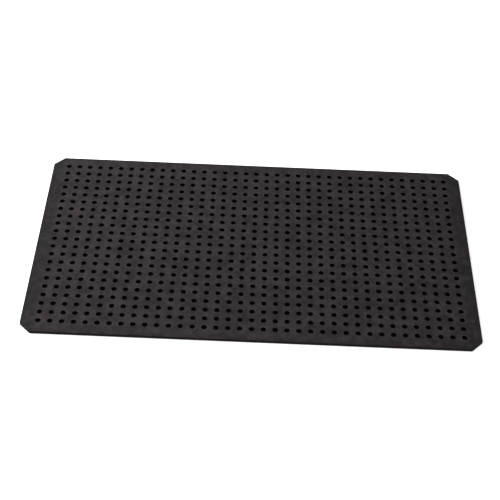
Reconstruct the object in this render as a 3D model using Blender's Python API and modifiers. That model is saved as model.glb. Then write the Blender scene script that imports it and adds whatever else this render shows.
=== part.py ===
"""Seedling heat mat: a thin stiff panel that lies on a bench and warms a seed tray from below.

Metres, +Z up. The origin is the middle of the underside. +X runs along the long side
and +Y points to the back edge, which holds the power inlet.
"""
import math

import bmesh
import bpy
from mathutils import Matrix, Vector

# The hole grid drives the mat's plan size.
PITCH = 0.0127
COLUMNS = 37
ROWS = 21
END_MARGIN = 1.5 * PITCH
SIDE_MARGIN = 1.25 * PITCH
LENGTH = (COLUMNS - 1) * PITCH + 2 * END_MARGIN
WIDTH = (ROWS - 1) * PITCH + 2 * SIDE_MARGIN
CORNER_CUT = 0.012
CORNER_RADIUS = 0.0015
CORNER_STEPS = 2

# Heights of the layers above the bench, each as (low, high).
SKIRT_FOOT = 0.0003
TOP = 0.0042
BOTTOM_COVER_Z = (0.0, 0.0006)
FILM_Z = (0.00068, 0.00074)
SEAL_Z = (0.0007, 0.0025)
PAD_Z = (0.00082, 0.0021)
TAPE_Z = (0.00218, 0.00226)
SPREADER_Z = (0.00234, 0.0025)
COVER_CEILING = 0.0026

# How far each outline lies inside the cover's outside face.
SKIRT_WIDTH = 0.0025
FIT_GAP = 0.0003
BOTTOM_INSET = SKIRT_WIDTH + FIT_GAP
SEAL_WIDTH = 0.003
FILLING_INSET = BOTTOM_INSET + SEAL_WIDTH + FIT_GAP

# Cover details.
HOLE_RADIUS = 0.003
HOLE_DEPTH = 0.0012
HOLE_SIDES = 6
EDGE_BEVEL = 0.0005
EDGE_SEGMENTS = 2

# Heating cable: straight runs across the mat, joined by half-circle turns.
CABLE_RADIUS = 0.00045
CABLE_Z = 0.00152
CABLE_RUNS = 18
CABLE_HALF_SPAN = 0.232
FRONT_TURN_Y = -0.117
BACK_TURN_Y = 0.107
TURN_STEPS = 6
LINE_BEND_RADIUS = 0.008
LINE_BEND_STEPS = 4
CHANNEL_WIDTH = 0.0016
CHANNEL_FLOOR = 0.001

TAPE_LENGTH = 0.478
TAPE_WIDTH = 0.018
TAPE_ROWS = {"front": -0.085, "middle": 0.0, "back": 0.085}

# Junction pocket in the back margin. Its pieces lie on one line along X.
JUNCTION_HALF_LENGTH = 0.044
JUNCTION_FRONT = 0.1308
JUNCTION_BACK = WIDTH / 2 - 0.0018
JUNCTION_CEILING = 0.0034
JUNCTION_Y = 0.1333
JUNCTION_Z = 0.00205
SPLICE_X = 0.030
SPLICE_LENGTH = 0.008
SPLICE_RADII = (0.00055, 0.00075)
SLEEVE_LENGTH = 0.012
SLEEVE_RADII = (0.0009, 0.00115)
CABLE_LIFT_X = 0.037
CABLE_DOWN_X = 0.0435
LEAD_RADIUS = 0.00045
TURNED_STEPS = 12

# Power inlet: a flat two-contact socket, flush with the back edge.
INLET_HALF_WIDTH = 0.0075
INLET_FRONT = 0.135
INLET_BACK = WIDTH / 2 - 0.0001
INLET_Z = (0.0009, 0.0031)
INLET_SLOT_HALF_WIDTH = 0.0048
INLET_SLOT_Z = (0.0013, 0.0028)
INLET_SLOT_FRONT = 0.1373
INLET_NOTCH_TOP = 0.00345
CONTACT_X = 0.0026
CONTACT_HALF_WIDTH = 0.001
CONTACT_HALF_THICKNESS = 0.00025
CONTACT_Y = (0.1318, 0.1412)

# Thermal cut-out, in series with the right-hand lead.
CUTOUT_X = (0.010, 0.020)
CUTOUT_HALF_WIDTH = 0.002
CUTOUT_Z = (0.00105, 0.00305)
CUTOUT_TAB_LENGTH = 0.002
CUTOUT_BEVEL = 0.0004

# Blank rating plate, let into the underside.
PLATE_CENTRE = (-0.15, 0.06)
PLATE_SIZE = (0.060, 0.032)
PLATE_Z = (0.00006, 0.00016)
PLATE_RECESS_TOP = 0.00026

# How far a cutter reaches past the face that it opens.
OVERCUT = 0.001
WELD = 0.000001
SAME_PLANE_ANGLE = math.radians(1)

# Material name: colour, roughness, metallic.
MATERIALS = {
    "cover_plastic": ((0.036, 0.032, 0.033), 0.62, 0.0),
    "bottom_plastic": ((0.030, 0.028, 0.029), 0.70, 0.0),
    "seal_rubber": ((0.020, 0.020, 0.021), 0.80, 0.0),
    "foam": ((0.36, 0.37, 0.39), 0.95, 0.0),
    "film": ((0.72, 0.73, 0.75), 0.25, 1.0),
    "spreader_metal": ((0.78, 0.79, 0.80), 0.35, 1.0),
    "tape_metal": ((0.70, 0.71, 0.73), 0.30, 1.0),
    "cable_jacket": ((0.46, 0.06, 0.03), 0.50, 0.0),
    "lead_jacket": ((0.05, 0.12, 0.38), 0.45, 0.0),
    "inlet_plastic": ((0.016, 0.016, 0.017), 0.45, 0.0),
    "contact_metal": ((0.72, 0.52, 0.20), 0.30, 1.0),
    "splice_metal": ((0.68, 0.66, 0.62), 0.35, 1.0),
    "sleeve": ((0.025, 0.025, 0.027), 0.40, 0.0),
    "cutout_case": ((0.30, 0.07, 0.03), 0.40, 0.0),
    "plate": ((0.62, 0.62, 0.60), 0.45, 0.0),
}


def clear_scene():
    """Empties the scene and the collections left from an earlier run."""
    for old in list(bpy.data.objects):
        bpy.data.objects.remove(old, do_unlink=True)
    for old in list(bpy.data.collections):
        bpy.data.collections.remove(old)


def new_collection(name):
    collection = bpy.data.collections.new(name)
    bpy.context.scene.collection.children.link(collection)
    return collection


def make_material(name):
    colour, roughness, metallic = MATERIALS[name]
    material = bpy.data.materials.new(name)
    material.use_nodes = True
    shader = material.node_tree.nodes["Principled BSDF"]
    shader.inputs["Base Color"].default_value = (*colour, 1.0)
    shader.inputs["Roughness"].default_value = roughness
    shader.inputs["Metallic"].default_value = metallic
    material.diffuse_color = (*colour, 1.0)
    return material


def add_object(name, data, material=None):
    """A part in the mat's collection or, with no material, a hidden cutter."""
    thing = bpy.data.objects.new(name, data)
    if material:
        parts.objects.link(thing)
        data.materials.append(materials[material])
    else:
        cutters.objects.link(thing)
        thing.hide_render = True
        thing.display_type = "WIRE"
    return thing


def poly_spline(curve, points, cyclic):
    spline = curve.splines.new("POLY")
    spline.points.add(len(points) - 1)
    for spline_point, point in zip(spline.points, points):
        spline_point.co = (*Vector(point).to_3d(), 1.0)
    spline.use_cyclic_u = cyclic


def as_mesh(curve):
    """The curve's surface as one welded mesh. The curve itself is removed."""
    holder = bpy.data.objects.new("holder", curve)
    parts.objects.link(holder)
    bpy.context.view_layer.update()
    evaluated = holder.evaluated_get(bpy.context.evaluated_depsgraph_get())
    mesh = bpy.data.meshes.new_from_object(evaluated)
    bpy.data.objects.remove(holder, do_unlink=True)
    bpy.data.curves.remove(curve)
    edit = bmesh.new()
    edit.from_mesh(mesh)
    bmesh.ops.remove_doubles(edit, verts=edit.verts, dist=WELD)
    bmesh.ops.recalc_face_normals(edit, faces=edit.faces)
    edit.to_mesh(mesh)
    edit.free()
    mesh.materials.clear()
    return mesh


def flat_piece(name, outlines, heights, material=None):
    """A flat piece between two heights. A second outline is a hole in the first."""
    low, high = heights
    curve = bpy.data.curves.new(name, "CURVE")
    curve.dimensions = "2D"
    curve.fill_mode = "BOTH"
    curve.extrude = (high - low) / 2
    for outline in outlines:
        poly_spline(curve, outline, cyclic=True)
    piece = add_object(name, as_mesh(curve), material)
    piece.location.z = (low + high) / 2
    return piece


def box(name, low, high, material=None):
    """A box between two corners, with its origin in its middle."""
    low, high = Vector(low), Vector(high)
    mesh = bpy.data.meshes.new(name)
    edit = bmesh.new()
    size = Matrix.Diagonal(high - low).to_4x4()
    bmesh.ops.create_cube(edit, size=1.0, matrix=size)
    edit.to_mesh(mesh)
    edit.free()
    piece = add_object(name, mesh, material)
    piece.location = (low + high) / 2
    return piece


def combine(piece, tool, operation="DIFFERENCE"):
    """Cuts the tool out of the piece, or joins the tool to it."""
    boolean = piece.modifiers.new(f"{operation.lower()}_{tool.name}", "BOOLEAN")
    boolean.object = tool
    boolean.operation = operation


def clipped_outline(inset):
    """The mat's plan, a rectangle with its four corners cut off, moved in by an inset."""
    x = LENGTH / 2 - inset
    y = WIDTH / 2 - inset
    cut = CORNER_CUT - inset * (2 - math.sqrt(2))
    return [(x - cut, -y), (x, cut - y), (x, y - cut), (x - cut, y),
            (cut - x, y), (-x, y - cut), (-x, cut - y), (cut - x, -y)]


def rounded(outline, radius, steps):
    """The same outline, run anticlockwise, with an arc at every corner."""
    points = []
    for index, corner in enumerate(outline):
        corner = Vector(corner)
        back = (Vector(outline[index - 1]) - corner).normalized()
        ahead = (Vector(outline[(index + 1) % len(outline)]) - corner).normalized()
        half_angle = back.angle(ahead) / 2
        centre = corner + (back + ahead).normalized() * radius / math.sin(half_angle)
        start = corner + back * radius / math.tan(half_angle) - centre
        turn = math.pi - 2 * half_angle
        for step in range(steps + 1):
            points.append(centre + Matrix.Rotation(turn * step / steps, 2) @ start)
    return points


def rectangle(centre, size, grow=0.0):
    x, y = size[0] / 2 + grow, size[1] / 2 + grow
    return [(centre[0] - x, centre[1] - y), (centre[0] + x, centre[1] - y),
            (centre[0] + x, centre[1] + y), (centre[0] - x, centre[1] + y)]


def bevel_edges(piece, width, segments, wanted):
    """Rounds the mesh edges that the test picks, before any cut is made."""
    edit = bmesh.new()
    edit.from_mesh(piece.data)
    edges = [edge for edge in edit.edges if wanted(edge)]
    bmesh.ops.bevel(edit, geom=edges, offset=width, segments=segments, profile=0.5,
                    affect="EDGES", clamp_overlap=True)
    edit.to_mesh(piece.data)
    edit.free()


def make_hole_cutter():
    """One tapered well, repeated along both directions of the hole grid."""
    growth = 1 + OVERCUT / HOLE_DEPTH
    mesh = bpy.data.meshes.new("hole_cutter")
    edit = bmesh.new()
    bmesh.ops.create_cone(edit, cap_ends=True, segments=HOLE_SIDES, radius1=0.0,
                          radius2=HOLE_RADIUS * growth, depth=HOLE_DEPTH + OVERCUT)
    bmesh.ops.remove_doubles(edit, verts=edit.verts, dist=WELD)
    bmesh.ops.recalc_face_normals(edit, faces=edit.faces)
    edit.to_mesh(mesh)
    edit.free()
    cutter = add_object("hole_cutter", mesh)
    cutter.location = (-(COLUMNS - 1) * PITCH / 2, -(ROWS - 1) * PITCH / 2,
                       TOP + (OVERCUT - HOLE_DEPTH) / 2)
    for axis, count in ((0, COLUMNS), (1, ROWS)):
        array = cutter.modifiers.new("along_" + "xy"[axis], "ARRAY")
        array.count = count
        array.use_relative_offset = False
        array.use_constant_offset = True
        array.constant_offset_displace = [PITCH if i == axis else 0.0 for i in range(3)]
    return cutter


def make_cover():
    """The moulded cover: a top sheet with blind holes, and a skirt round its edge."""
    outline = rounded(clipped_outline(0.0), CORNER_RADIUS, CORNER_STEPS)
    cover = flat_piece("perforated_cover", [outline], (SKIRT_FOOT, TOP), "cover_plastic")
    top_plane = (TOP - SKIRT_FOOT) / 2 - WELD

    def on_top_rim(edge):
        return all(vert.co.z > top_plane for vert in edge.verts) and len(edge.link_faces) == 2

    join_flat_faces(cover)
    bevel_edges(cover, EDGE_BEVEL, EDGE_SEGMENTS, on_top_rim)
    hollow = flat_piece("cover_hollow", [clipped_outline(SKIRT_WIDTH)],
                        (SKIRT_FOOT - OVERCUT, COVER_CEILING))
    recess = box("junction_recess",
                 (-JUNCTION_HALF_LENGTH, JUNCTION_FRONT, COVER_CEILING - OVERCUT),
                 (JUNCTION_HALF_LENGTH, JUNCTION_BACK, JUNCTION_CEILING))
    notch_half_width = INLET_HALF_WIDTH + FIT_GAP
    notch = box("inlet_notch",
                (-notch_half_width, INLET_FRONT, SKIRT_FOOT - OVERCUT),
                (notch_half_width, WIDTH / 2 + OVERCUT, INLET_NOTCH_TOP))
    for tool in (hollow, recess, notch, make_hole_cutter()):
        combine(cover, tool)


def join_flat_faces(piece):
    """Joins the triangles that lie in one plane, so that only real edges are left."""
    edit = bmesh.new()
    edit.from_mesh(piece.data)
    bmesh.ops.dissolve_limit(edit, angle_limit=SAME_PLANE_ANGLE, verts=edit.verts,
                             edges=edit.edges)
    edit.to_mesh(piece.data)
    edit.free()


def make_bottom_cover():
    """The flat underside sheet, with a shallow recess for the rating plate."""
    outline = clipped_outline(BOTTOM_INSET)
    sheet = flat_piece("bottom_cover", [outline], BOTTOM_COVER_Z, "bottom_plastic")
    recess = flat_piece("plate_recess", [rectangle(PLATE_CENTRE, PLATE_SIZE, FIT_GAP)],
                        (-OVERCUT, PLATE_RECESS_TOP))
    combine(sheet, recess)
    flat_piece("rating_plate", [rectangle(PLATE_CENTRE, PLATE_SIZE)], PLATE_Z, "plate")


def make_edge_seal():
    """The bead that bonds the two covers all round, open only at the inlet."""
    rings = [clipped_outline(BOTTOM_INSET), clipped_outline(BOTTOM_INSET + SEAL_WIDTH)]
    seal = flat_piece("edge_seal", rings, SEAL_Z, "seal_rubber")
    gap_half_width = INLET_HALF_WIDTH + FIT_GAP
    gap = box("seal_gap", (-gap_half_width, INLET_FRONT, -OVERCUT),
              (gap_half_width, WIDTH / 2, TOP))
    combine(seal, gap)


def arc(centre, radius, start, sweep, steps):
    """Points of an arc in plan. The angles are in degrees."""
    angles = [math.radians(start + sweep * step / steps) for step in range(steps + 1)]
    return [(centre[0] + radius * math.cos(a), centre[1] + radius * math.sin(a))
            for a in angles]


def cable_plan():
    """The cable's plan, from the pocket's left end, round every run, to its right end."""
    bend = LINE_BEND_RADIUS
    run_gap = 2 * CABLE_HALF_SPAN / (CABLE_RUNS - 1)
    corner_x = CABLE_HALF_SPAN - bend
    corner_y = JUNCTION_Y - bend
    plan = [(-CABLE_DOWN_X, JUNCTION_Y)]
    plan += arc((-corner_x, corner_y), bend, 90, 90, LINE_BEND_STEPS)
    for turn in range(CABLE_RUNS - 1):
        middle = -CABLE_HALF_SPAN + (turn + 0.5) * run_gap
        if turn % 2 == 0:
            plan += arc((middle, FRONT_TURN_Y), run_gap / 2, 180, 180, TURN_STEPS)
        else:
            plan += arc((middle, BACK_TURN_Y), run_gap / 2, 180, -180, TURN_STEPS)
    plan += arc((corner_x, corner_y), bend, 0, 90, LINE_BEND_STEPS)
    return plan + [(CABLE_DOWN_X, JUNCTION_Y)]


def round_wire(name, points, radius, material):
    """A round wire through the points, with closed ends."""
    curve = bpy.data.curves.new(name, "CURVE")
    curve.dimensions = "3D"
    curve.bevel_depth = radius
    curve.bevel_resolution = 1
    curve.use_fill_caps = True
    poly_spline(curve, points, cyclic=False)
    add_object(name, curve, material)


def make_heating_cable():
    """The resistance cable. Both ends rise into the junction pocket."""
    first = SPLICE_X + FIT_GAP / 2
    ends = [(first, JUNCTION_Y, JUNCTION_Z), (CABLE_LIFT_X, JUNCTION_Y, JUNCTION_Z)]
    left_end = [(-x, y, z) for x, y, z in ends]
    middle = [(x, y, CABLE_Z) for x, y in cable_plan()]
    round_wire("heating_cable", left_end + middle + ends[::-1], CABLE_RADIUS, "cable_jacket")


def make_junction_gap(name):
    """The junction pocket's plan, as a cutter for the layers beside it."""
    return box(name, (-JUNCTION_HALF_LENGTH, JUNCTION_FRONT, -OVERCUT),
               (JUNCTION_HALF_LENGTH, JUNCTION_BACK, TOP))


def make_channel_cutter():
    """A band that follows the cable and leaves its channel in the pad."""
    curve = bpy.data.curves.new("cable_channel", "CURVE")
    curve.dimensions = "2D"
    curve.fill_mode = "NONE"
    height = PAD_Z[1] + OVERCUT - CHANNEL_FLOOR
    curve.extrude = height / 2
    poly_spline(curve, cable_plan(), cyclic=False)
    channel = add_object("cable_channel", as_mesh(curve))
    channel.location.z = CHANNEL_FLOOR + height / 2
    band = channel.modifiers.new("band", "SOLIDIFY")
    band.thickness = CHANNEL_WIDTH
    band.offset = 0.0
    band.use_even_offset = True
    return channel


def make_filling():
    """The layers between the covers: film, foam pad, fixing tapes and heat spreader."""
    outline = clipped_outline(FILLING_INSET)
    flat_piece("reflective_film", [outline], FILM_Z, "film")
    pad = flat_piece("insulation_pad", [outline], PAD_Z, "foam")
    combine(pad, make_channel_cutter())
    combine(pad, make_junction_gap("pad_gap"))
    for row, y in TAPE_ROWS.items():
        strip = rectangle((0.0, y), (TAPE_LENGTH, TAPE_WIDTH))
        flat_piece(f"fixing_tape_{row}", [strip], TAPE_Z, "tape_metal")
    spreader = flat_piece("heat_spreader", [outline], SPREADER_Z, "spreader_metal")
    combine(spreader, make_junction_gap("spreader_gap"))


def make_inlet():
    """The flush power inlet and its two contact blades."""
    housing = box("inlet_housing", (-INLET_HALF_WIDTH, INLET_FRONT, SKIRT_FOOT),
                  (INLET_HALF_WIDTH, INLET_BACK, INLET_Z[1]), "inlet_plastic")
    step = box("inlet_step", (-LENGTH, INLET_FRONT - OVERCUT, -OVERCUT),
               (LENGTH, WIDTH / 2 - SKIRT_WIDTH + FIT_GAP, INLET_Z[0]))
    slot = box("inlet_slot", (-INLET_SLOT_HALF_WIDTH, INLET_SLOT_FRONT, INLET_SLOT_Z[0]),
               (INLET_SLOT_HALF_WIDTH, WIDTH / 2 + OVERCUT, INLET_SLOT_Z[1]))
    combine(housing, step)
    combine(housing, slot)
    for side, sign in (("left", -1), ("right", 1)):
        x = sign * CONTACT_X
        low = Vector((x - CONTACT_HALF_WIDTH, CONTACT_Y[0], JUNCTION_Z - CONTACT_HALF_THICKNESS))
        high = Vector((x + CONTACT_HALF_WIDTH, CONTACT_Y[1], JUNCTION_Z + CONTACT_HALF_THICKNESS))
        box(f"inlet_contact_{side}", low, high, "contact_metal")
        clearance = Vector((FIT_GAP, OVERCUT, FIT_GAP)) / 2
        passage = box(f"contact_passage_{side}", low - clearance, high + clearance)
        combine(housing, passage)


def turned_tube(name, radii, length, x, material):
    """A round tube along X on the junction line, turned from its wall's section."""
    inner, outer = radii
    half = length / 2
    wall = [(outer, 0.0, half), (outer, 0.0, -half), (inner, 0.0, -half), (inner, 0.0, half)]
    mesh = bpy.data.meshes.new(name)
    mesh.from_pydata(wall, [(0, 1), (1, 2), (2, 3), (3, 0)], [])
    tube = add_object(name, mesh, material)
    turning = tube.modifiers.new("turned", "SCREW")
    turning.steps = TURNED_STEPS
    turning.render_steps = TURNED_STEPS
    turning.use_merge_vertices = True
    turning.merge_threshold = WELD
    tube.rotation_euler = (0.0, math.pi / 2, 0.0)
    tube.location = (x, JUNCTION_Y, JUNCTION_Z)


def junction_wire(name, start_x, end_x):
    """A straight insulated lead on the junction line."""
    points = [(x, JUNCTION_Y, JUNCTION_Z) for x in (start_x, end_x)]
    round_wire(name, points, LEAD_RADIUS, "lead_jacket")


def make_thermal_cutout():
    """The flat thermal cut-out, one moulded body with a tab at each end."""
    low, high = CUTOUT_X
    body = box("thermal_cutout", (low, JUNCTION_Y - CUTOUT_HALF_WIDTH, CUTOUT_Z[0]),
               (high, JUNCTION_Y + CUTOUT_HALF_WIDTH, CUTOUT_Z[1]), "cutout_case")
    bevel_edges(body, CUTOUT_BEVEL, EDGE_SEGMENTS, lambda edge: True)
    tabs = box("cutout_tabs",
               (low - CUTOUT_TAB_LENGTH, JUNCTION_Y - CONTACT_HALF_WIDTH,
                JUNCTION_Z - CONTACT_HALF_THICKNESS),
               (high + CUTOUT_TAB_LENGTH, JUNCTION_Y + CONTACT_HALF_WIDTH,
                JUNCTION_Z + CONTACT_HALF_THICKNESS))
    combine(body, tabs, "UNION")


def make_junction():
    """Splices, sleeves, leads and cut-out between the inlet and the cable's ends."""
    for side, sign in (("left", -1), ("right", 1)):
        x = sign * SPLICE_X
        turned_tube(f"splice_barrel_{side}", SPLICE_RADII, SPLICE_LENGTH, x, "splice_metal")
        turned_tube(f"splice_sleeve_{side}", SLEEVE_RADII, SLEEVE_LENGTH, x, "sleeve")
    contact_side = CONTACT_X + CONTACT_HALF_WIDTH + FIT_GAP
    lead_end = SPLICE_X - FIT_GAP / 2
    junction_wire("supply_lead_left", -contact_side, -lead_end)
    junction_wire("supply_lead_right", contact_side, CUTOUT_X[0] - CUTOUT_TAB_LENGTH - FIT_GAP)
    junction_wire("cutout_lead", CUTOUT_X[1] + CUTOUT_TAB_LENGTH + FIT_GAP, lead_end)
    make_thermal_cutout()


clear_scene()
parts = new_collection("seedling_heat_mat")
cutters = new_collection("cutters")
materials = {name: make_material(name) for name in MATERIALS}
make_cover()
make_bottom_cover()
make_edge_seal()
make_filling()
make_heating_cable()
make_inlet()
make_junction()
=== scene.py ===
import math

import bmesh
import bpy
from mathutils import Matrix, Vector
from mathutils.geometry import tessellate_polygon


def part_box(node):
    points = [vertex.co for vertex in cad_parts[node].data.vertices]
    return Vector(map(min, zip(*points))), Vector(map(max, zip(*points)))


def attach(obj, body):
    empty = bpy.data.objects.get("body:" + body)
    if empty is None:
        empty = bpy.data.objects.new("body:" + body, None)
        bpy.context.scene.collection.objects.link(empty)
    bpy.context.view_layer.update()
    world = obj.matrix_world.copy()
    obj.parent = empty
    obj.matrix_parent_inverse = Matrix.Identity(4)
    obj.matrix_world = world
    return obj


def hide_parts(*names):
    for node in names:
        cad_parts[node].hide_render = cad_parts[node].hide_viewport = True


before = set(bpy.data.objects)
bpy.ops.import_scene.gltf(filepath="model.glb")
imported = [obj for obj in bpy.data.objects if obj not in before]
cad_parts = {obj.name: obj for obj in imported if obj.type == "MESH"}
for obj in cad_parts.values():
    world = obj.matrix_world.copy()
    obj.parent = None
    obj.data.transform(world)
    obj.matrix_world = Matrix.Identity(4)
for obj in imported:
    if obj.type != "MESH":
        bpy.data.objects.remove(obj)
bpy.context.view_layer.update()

BODY = "root"

# ---- sizes, in metres, worked out from the frame ----
COLUMNS = 37
ROWS = 21
cover_low, cover_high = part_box("perforated_cover")
LENGTH = cover_high.x - cover_low.x
WIDTH = cover_high.y - cover_low.y
TOP = cover_high.z
FOOT = cover_low.z
END_MARGIN_PITCHES = 1.5
PITCH = LENGTH / (COLUMNS - 1 + 2 * END_MARGIN_PITCHES)
CORNER_CUT = 0.012
CORNER_RADIUS = 0.0015
LEAST_CORNER_RADIUS = 0.0003
CORNER_STEPS = 5
EDGE_RADIUS = 0.0006
EDGE_STEPS = 4
FOOT_STEPS = 2
SKIRT_WIDTH = 0.0025
CEILING_GAP = 0.0001
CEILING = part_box("heat_spreader")[1].z + CEILING_GAP

# A hole's section, from its rim on the top face to its floor: (radius, height, wear).
HOLE_RADIUS = 0.003
HOLE_DEPTH = 0.0012
CELL_SIDES = 24                           # a multiple of four
FRONT_LEFT = math.radians(-135)
HOLE_SECTION = [
    (HOLE_RADIUS + 0.00022, TOP, 0.0),
    (HOLE_RADIUS + 0.00006, TOP - 0.00006, 1.0),
    (HOLE_RADIUS, TOP - 0.00022, 0.6),
    (HOLE_RADIUS - 0.00004, TOP - HOLE_DEPTH, 0.0),
]
# The wells and the skirt take materials whose dark colours are painted shade.
FACE_SLOT, WELL_SLOT, SKIRT_SLOT = 0, 1, 2
MERGE = 0.000001
SLIVER_AREA = 1e-12                       # square metres
OVERCUT = 0.001                           # how far a cutter reaches past what it cuts

# The underside: square pads with soft corners, separated by shallow grooves.
sheet_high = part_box("bottom_cover")[1]
SHEET_INSET = LENGTH / 2 - sheet_high.x
GROOVE_Z = 0.00018
SHEET_EDGE = 0.0001
RIM_WIDTH = 0.0018
PAD_SQUARENESS = 6.0
PAD_SECTION = [(0.0056, GROOVE_Z, 0.0), (0.0055, 0.00005, 0.3), (0.0053, 0.0, 0.6)]

# The junction line, along which the inlet's leads, splices and cut-out lie.
sleeve_low, sleeve_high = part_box("splice_sleeve_right")
SPLICE_X, JUNCTION_Y, JUNCTION_Z = (sleeve_low + sleeve_high) / 2
WIRE_RADIUS = 0.00045
CONDUCTOR_RADIUS = 0.00022
STRIPPED_LENGTH = 0.0008
TURNED_SIDES = 24

# Heating cable: straight runs across the mat, joined by half-circle turns.
cable_low, cable_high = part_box("heating_cable")
CABLE_Z = cable_low.z + WIRE_RADIUS
CABLE_SIDES = 14
CABLE_END_GAP = 0.00015
CABLE_RUNS = 18
CABLE_HALF_SPAN = cable_high.x - WIRE_RADIUS
RUN_GAP = 2 * CABLE_HALF_SPAN / (CABLE_RUNS - 1)
FRONT_TURN_Y = cable_low.y + WIRE_RADIUS + RUN_GAP / 2
BACK_TURN_Y = 0.107
LINE_BEND_RADIUS = 0.008
CABLE_LIFT_X = 0.037
CABLE_DOWN_X = 0.0435
TURN_STEPS = 28
RISE_STEPS = 8
CHANNEL_HALF_WIDTH = 0.0008
CHANNEL_FLOOR = 0.001
CHANNEL_SOFTNESS = 0.0003

# The pocket in the foam for the junction. Its back reaches past the foam's edge.
POCKET_HALF_LENGTH = 0.044
POCKET_FRONT = 0.1308
POCKET_BACK = WIDTH / 2 - 0.0018

# The inlet's slot and body, and the gap left round what is fitted into another piece.
SLOT_HALF_WIDTH = 0.0048
SLOT_LOW = 0.0013
SLOT_HIGH = 0.0028
SLOT_END_Y = 0.1373
INLET_BODY_LOW = 0.0009
INLET_CORNER = 0.0003
INLET_GAP = 0.00015

# The cut-out's two tabs.
TAB_LENGTH = 0.002
TAB_HALF_WIDTH = 0.001
TAB_HALF_THICKNESS = 0.00025

# Splices: the radii of a barrel, and of a sleeve before and after it closes on the wire.
SPLICE_STEPS = 28
BARREL_INNER = 0.00055
BARREL_OUTER = 0.00075
BARREL_FLARE = 0.00003
FLARE_START = 0.9                         # share of the half length
NIP_WIDTH = 0.0006
NIP_INNER_DEPTH = 0.00005
NIP_OUTER_DEPTH = 0.00007
SLEEVE_INNER = 0.00088
SLEEVE_WALL = 0.00025
SLEEVE_SHRINK = 0.00038
SLEEVE_THINNING = 0.00004
SHRINK_START = 0.0040
SHRINK_LENGTH = 0.0012


# ---- node helpers ----

def new_material(name):
    """A material with an empty Principled shader, its node tree and the shader."""
    material = bpy.data.materials.new(name)
    material.use_nodes = True
    tree = material.node_tree
    return material, tree, tree.nodes["Principled BSDF"]


def add(tree, kind, inputs=None, **settings):
    """One node, with its settings and input values or links."""
    made = tree.nodes.new(kind)
    for name, value in settings.items():
        setattr(made, name, value)
    for socket, value in (inputs or {}).items():
        put(tree, made.inputs[socket], value)
    return made


def put(tree, socket, value):
    """Links a socket to another node's output, or sets its value."""
    if isinstance(value, bpy.types.NodeSocket):
        tree.links.new(value, socket)
    else:
        socket.default_value = value


def object_point(tree):
    """Positions in the mat's own frame, in metres."""
    return add(tree, "ShaderNodeTexCoord").outputs["Object"]


def noise(tree, point, size, detail=3.0, roughness=0.55, stretch=(1, 1, 1)):
    """Noise from 0 to 1 with features of about the given size in metres."""
    scaled = add(tree, "ShaderNodeMapping", {"Vector": point, "Scale": stretch})
    made = add(tree, "ShaderNodeTexNoise",
               {"Vector": scaled.outputs[0], "Scale": 1 / size, "Detail": detail,
                "Roughness": roughness})
    return made.outputs["Fac"]


def cells(tree, point, size, feature="F1"):
    """Distance to the nearest point of a random pattern of cells."""
    made = add(tree, "ShaderNodeTexVoronoi", {"Vector": point, "Scale": 1 / size},
               feature=feature)
    return made.outputs["Distance"]


def remap(tree, value, low, high, out_low, out_high):
    """Maps low..high to out_low..out_high, held at both ends."""
    made = add(tree, "ShaderNodeMapRange",
               {"Value": value, "From Min": low, "From Max": high,
                "To Min": out_low, "To Max": out_high})
    return made.outputs["Result"]


def maths(tree, operation, first, second=0.0):
    """The result of one operation on one or two numbers or sockets."""
    made = add(tree, "ShaderNodeMath", operation=operation)
    put(tree, made.inputs[0], first)
    put(tree, made.inputs[1], second)
    return made.outputs[0]


def total(tree, *values):
    """The sum of any count of numbers or sockets."""
    result = values[0]
    for value in values[1:]:
        result = maths(tree, "ADD", result, value)
    return result


def blend_colours(tree, factor, first, second):
    """First colour at 0, second at 1."""
    made = add(tree, "ShaderNodeMix", data_type="RGBA")
    put(tree, made.inputs["Factor"], factor)
    put(tree, made.inputs["A"], rgba(first))
    put(tree, made.inputs["B"], rgba(second))
    return made.outputs["Result"]


def rgba(colour):
    """A colour for a socket: a link as it is, or three numbers with alpha added."""
    return colour if isinstance(colour, bpy.types.NodeSocket) else (*colour, 1.0)


def bump(tree, height, distance, under=None):
    """A normal from heights of 0 to 1, scaled to a distance and laid over another normal."""
    made = add(tree, "ShaderNodeBump", {"Height": height, "Distance": distance, "Strength": 1.0})
    if under is not None:
        put(tree, made.inputs["Normal"], under)
    return made.outputs["Normal"]


# ---- materials ----

COVER_DARK = (0.0142, 0.0117, 0.0123)
COVER_LIGHT = (0.0337, 0.0277, 0.0291)
COVER_WORN = (0.041, 0.035, 0.036)
# The wells' colours are painted shade; the floors carry lighter specks of dust.
WELL_FLOOR_PAINTED_SHADE = (0.0010, 0.0009, 0.0009)
WELL_DUST = (0.0030, 0.0027, 0.0027)
WELL_WALL_PAINTED_SHADE = (0.0060, 0.0048, 0.0050)
# The skirt's colours: the cover's plastic darkened as painted shade on its side walls.
SKIRT_PAINTED_SHADE_LIGHT = (0.0130, 0.0098, 0.0103)
SKIRT_PAINTED_SHADE_DARK = (0.0086, 0.0065, 0.0069)
PLATE_LINE_INSET = 0.002
PLATE_LINE_HALF_WIDTH = 0.0002


def distance_from_edge(tree, point):
    """How far a point lies inside the mat's clipped outline, and inside its ends."""
    flat = add(tree, "ShaderNodeVectorMath", {0: point}, operation="ABSOLUTE")
    parts = add(tree, "ShaderNodeSeparateXYZ", {"Vector": flat.outputs[0]})
    from_end = maths(tree, "SUBTRACT", LENGTH / 2, parts.outputs["X"])
    from_side = maths(tree, "SUBTRACT", WIDTH / 2, parts.outputs["Y"])
    from_corner = maths(tree, "SUBTRACT", maths(tree, "ADD", from_end, from_side), CORNER_CUT)
    from_corner = maths(tree, "MULTIPLY", from_corner, math.sqrt(0.5))
    nearest = maths(tree, "MINIMUM", maths(tree, "MINIMUM", from_end, from_side), from_corner)
    return nearest, from_end


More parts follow.
